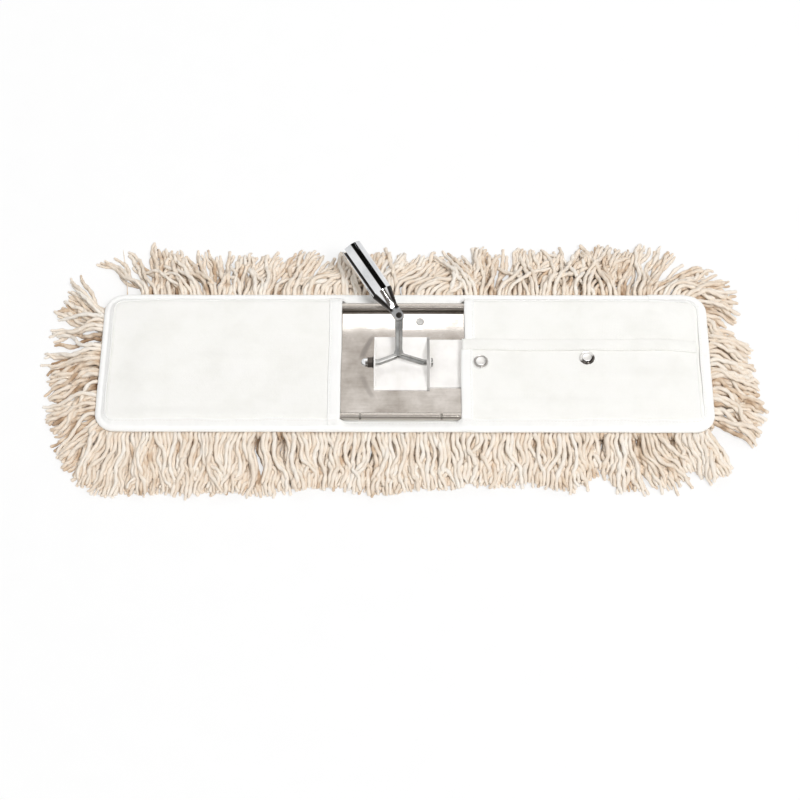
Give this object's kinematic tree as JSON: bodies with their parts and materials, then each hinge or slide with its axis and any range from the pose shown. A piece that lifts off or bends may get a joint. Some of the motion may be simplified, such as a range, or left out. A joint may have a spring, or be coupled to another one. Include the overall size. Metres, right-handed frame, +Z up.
{
  "type": "cotton flat mop",
  "caption": "Rectangular cotton dust mop with a yarn fringe, a pocketed canvas cover on a steel frame, a press-stud flap and a swivelling handle socket.",
  "frame": {"origin": "on the floor under the middle of the mop's outline", "axes": "+X along the mop towards the pocket with the flap, +Y to the rear where the handle socket lies, +Z up"},
  "size_m": [0.7172, 0.2824, 0.0751],
  "materials": {
    "canvas": "woven cotton canvas",
    "binding_tape": "woven white tape",
    "cotton_yarn": "twisted natural cotton yarn",
    "frame_steel": "bright plated sheet",
    "wire_steel": "drawn",
    "swivel_steel": "zinc plated",
    "socket_chrome": "polished",
    "snap_metal": "polished"
  },
  "bodies": {
    "head": {"canvas_backing": "canvas", "yarn_pile": "cotton_yarn", "front_fringe": "cotton_yarn", "rear_fringe": "cotton_yarn", "left_fringe": "cotton_yarn", "right_fringe": "cotton_yarn", "edge_binding": "binding_tape", "left_pocket": "canvas", "left_mouth_tape": "binding_tape", "right_pocket": "canvas", "right_mouth_tape": "binding_tape", "snap_studs": "snap_metal", "snap_backs": "snap_metal", "frame_plate": "frame_steel", "front_edge_wire": "wire_steel", "rear_edge_wire": "wire_steel", "swivel_bracket": "frame_steel", "tongue_rivets": "frame_steel", "plate_rivet": "frame_steel"},
    "yoke": {"yoke": "swivel_steel", "cap_nut": "swivel_steel", "left_pivot_washer": "swivel_steel", "right_pivot_washer": "swivel_steel"},
    "socket": {"handle_socket": "socket_chrome", "swing_rivet": "swivel_steel"},
    "flap": {"pocket_flap": "canvas", "flap_mouth_tape": "binding_tape", "snap_caps": "snap_metal", "snap_sockets": "snap_metal"}
  },
  "joints": [
    {"name": "yoke_tilt", "type": "hinge", "parent": "head", "child": "yoke", "pos_m": [-0.0035, -0.006, 0.03], "axis": [1, 0, 0], "range_deg": [0, 146]},
    {"name": "socket_swing", "type": "hinge", "parent": "yoke", "child": "socket", "pos_m": [-0.0058, 0.03895, 0.04374], "axis": [0, -0.2924, 0.9563], "range_deg": [-124.5, 55.5]},
    {"name": "flap_lift", "type": "hinge", "parent": "head", "child": "flap", "pos_m": [0.17, -0.06795, 0.0309], "axis": [1, 0, 0], "range_deg": [0, 85]}
  ]
}
